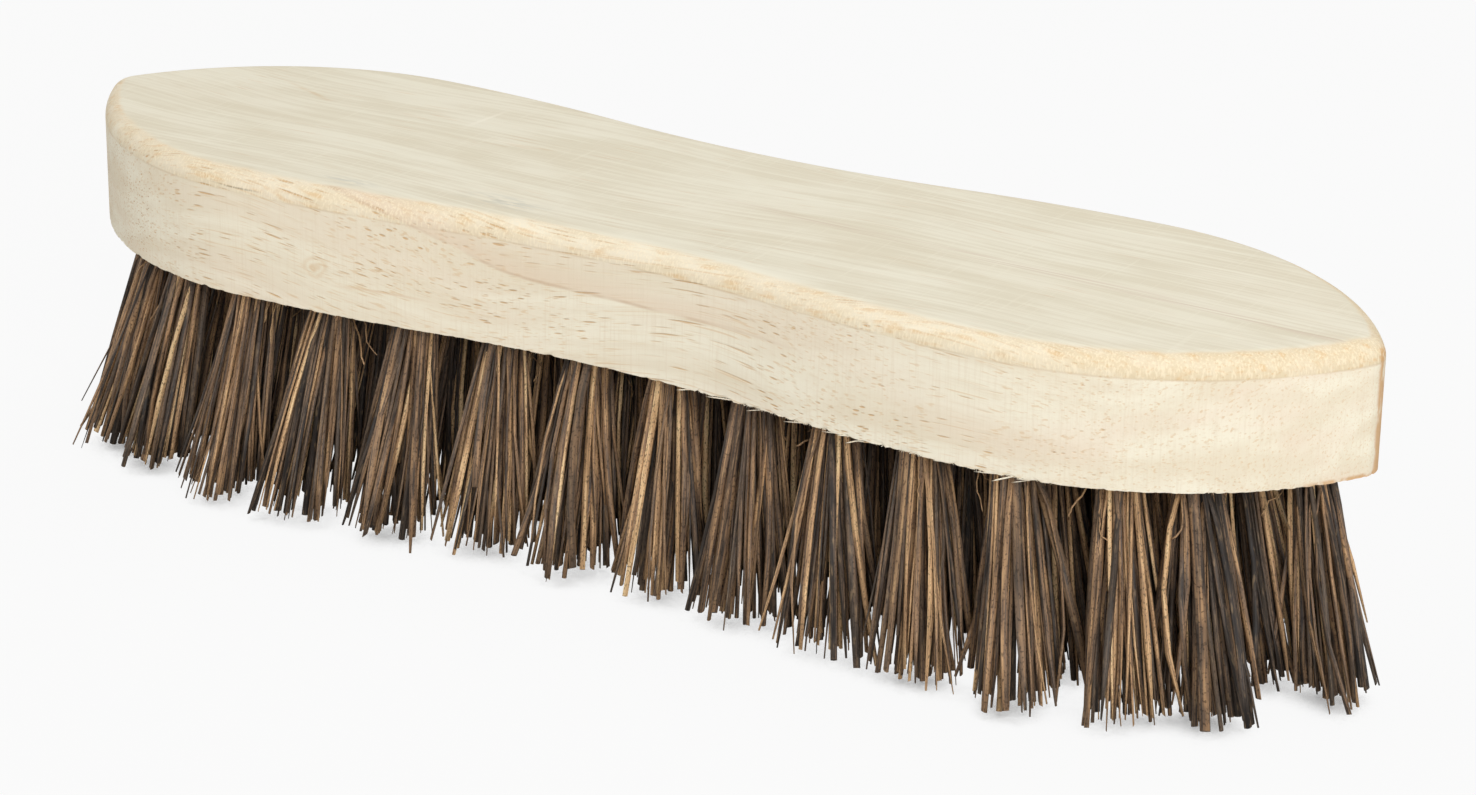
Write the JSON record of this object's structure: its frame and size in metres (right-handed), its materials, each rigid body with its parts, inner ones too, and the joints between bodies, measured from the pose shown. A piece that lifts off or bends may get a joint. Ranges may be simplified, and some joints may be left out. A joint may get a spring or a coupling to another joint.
{
  "type": "scrub brush",
  "caption": "Hand scrub brush: a one-piece wooden block with a narrow waist and pointed ends, filled below with flared tufts of stiff palm fibre.",
  "frame": {"origin": "middle of the plane that the trimmed bristle tips stand on", "axes": "+X along the brush, +Y across it, +Z from the bristle tips up to the flat top of the block"},
  "size_m": [0.2291, 0.0682, 0.056],
  "materials": {
    "wood": "bare, sanded pale hardwood, unsealed",
    "palm_fibre": "stiff natural palm fibre, dark brown to tan, dull sheen",
    "staple_wire": "drawn steel wire, dull"
  },
  "bodies": {
    "root": {"block": "wood", "anchor_staples": "staple_wire", "tuft_c1_r1": "palm_fibre", "tuft_c2_r1": "palm_fibre", "tuft_c2_r2": "palm_fibre", "tuft_c2_r3": "palm_fibre", "tuft_c3_r1": "palm_fibre", "tuft_c3_r2": "palm_fibre", "tuft_c3_r3": "palm_fibre", "tuft_c3_r4": "palm_fibre", "tuft_c4_r1": "palm_fibre", "tuft_c4_r2": "palm_fibre", "tuft_c4_r3": "palm_fibre", "tuft_c4_r4": "palm_fibre", "tuft_c4_r5": "palm_fibre", "tuft_c5_r1": "palm_fibre", "tuft_c5_r2": "palm_fibre", "tuft_c5_r3": "palm_fibre", "tuft_c5_r4": "palm_fibre", "tuft_c6_r1": "palm_fibre", "tuft_c6_r2": "palm_fibre", "tuft_c6_r3": "palm_fibre", "tuft_c6_r4": "palm_fibre", "tuft_c7_r1": "palm_fibre", "tuft_c7_r2": "palm_fibre", "tuft_c7_r3": "palm_fibre", "tuft_c7_r4": "palm_fibre", "tuft_c8_r1": "palm_fibre", "tuft_c8_r2": "palm_fibre", "tuft_c8_r3": "palm_fibre", "tuft_c8_r4": "palm_fibre", "tuft_c9_r1": "palm_fibre", "tuft_c9_r2": "palm_fibre", "tuft_c9_r3": "palm_fibre", "tuft_c9_r4": "palm_fibre", "tuft_c10_r1": "palm_fibre", "tuft_c10_r2": "palm_fibre", "tuft_c10_r3": "palm_fibre", "tuft_c10_r4": "palm_fibre", "tuft_c11_r1": "palm_fibre", "tuft_c11_r2": "palm_fibre", "tuft_c11_r3": "palm_fibre", "tuft_c11_r4": "palm_fibre", "tuft_c12_r1": "palm_fibre", "tuft_c12_r2": "palm_fibre", "tuft_c12_r3": "palm_fibre", "tuft_c12_r4": "palm_fibre", "tuft_c13_r1": "palm_fibre", "tuft_c13_r2": "palm_fibre", "tuft_c13_r3": "palm_fibre", "tuft_c13_r4": "palm_fibre", "tuft_c13_r5": "palm_fibre", "tuft_c14_r1": "palm_fibre", "tuft_c14_r2": "palm_fibre", "tuft_c14_r3": "palm_fibre", "tuft_c14_r4": "palm_fibre", "tuft_c15_r1": "palm_fibre", "tuft_c15_r2": "palm_fibre", "tuft_c15_r3": "palm_fibre", "tuft_c16_r1": "palm_fibre"}
  },
  "joints": []
}
